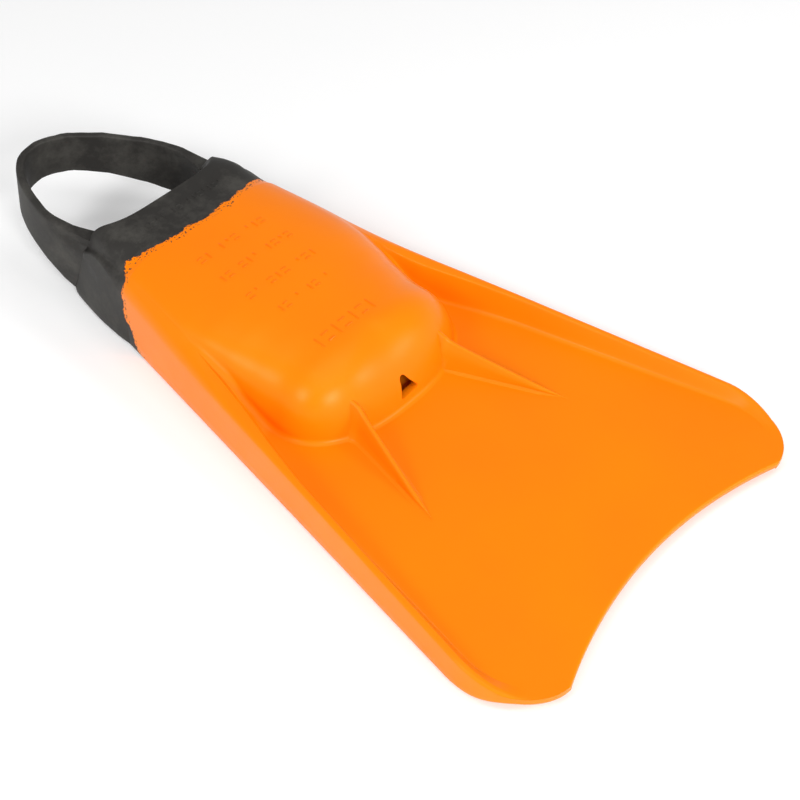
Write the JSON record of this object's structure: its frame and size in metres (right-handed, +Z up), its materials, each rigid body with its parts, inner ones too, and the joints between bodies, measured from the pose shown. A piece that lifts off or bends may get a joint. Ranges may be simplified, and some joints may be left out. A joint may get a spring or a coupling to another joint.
{
  "type": "swim fin",
  "caption": "Short stiff swim fin for bodyboarding: orange rubber foot pocket and flared blade with raised side rails, black heel end and heel strap.",
  "frame": {"origin": "on the ground under the middle of the fin: the bottom centre of its bounding box", "axes": "+Y runs from the heel strap to the blade tips, +Z is up out of the instep, +X is to the right when looking towards the blade tips"},
  "size_m": [0.2292, 0.426, 0.065],
  "materials": {
    "orange_blade": "smooth satin moulded orange rubber",
    "orange_rail": "smooth satin moulded orange rubber, paler sheen on the outer edge",
    "orange_pocket": "soft satin moulded orange rubber",
    "black_heel": "matt charcoal rubber with a rough torn edge at the seam",
    "black_strap": "matt charcoal rubber with mould flash along its edges"
  },
  "bodies": {
    "foot_pocket": {"root_web": "orange_blade", "side_rail_left": "orange_rail", "side_rail_right": "orange_rail", "side_wall_left": "orange_rail", "side_wall_right": "orange_rail", "rib_left": "orange_blade", "rib_right": "orange_blade", "toe_cap": "orange_pocket", "pocket_upper": "orange_pocket", "pocket_sole": "orange_pocket", "instep_band": "black_heel", "side_panel_left": "black_heel", "side_panel_right": "black_heel", "heel_sole": "black_heel"},
    "blade": {"blade_web": "orange_blade", "blade_rail_left": "orange_rail", "blade_rail_right": "orange_rail"},
    "strap": {"heel_strap": "black_strap"}
  },
  "joints": [
    {"name": "blade_flex", "type": "hinge", "parent": "foot_pocket", "child": "blade", "pos_m": [0, 0.112, 0.007], "axis": [1, 0, 0], "range_deg": [-20, 20], "stiffness_Nm_per_rad": 6},
    {"name": "strap_swing", "type": "hinge", "parent": "foot_pocket", "child": "strap", "pos_m": [0, -0.156, 0.027], "axis": [-1, 0, 0], "range_deg": [-25, 55], "stiffness_Nm_per_rad": 0.8}
  ]
}
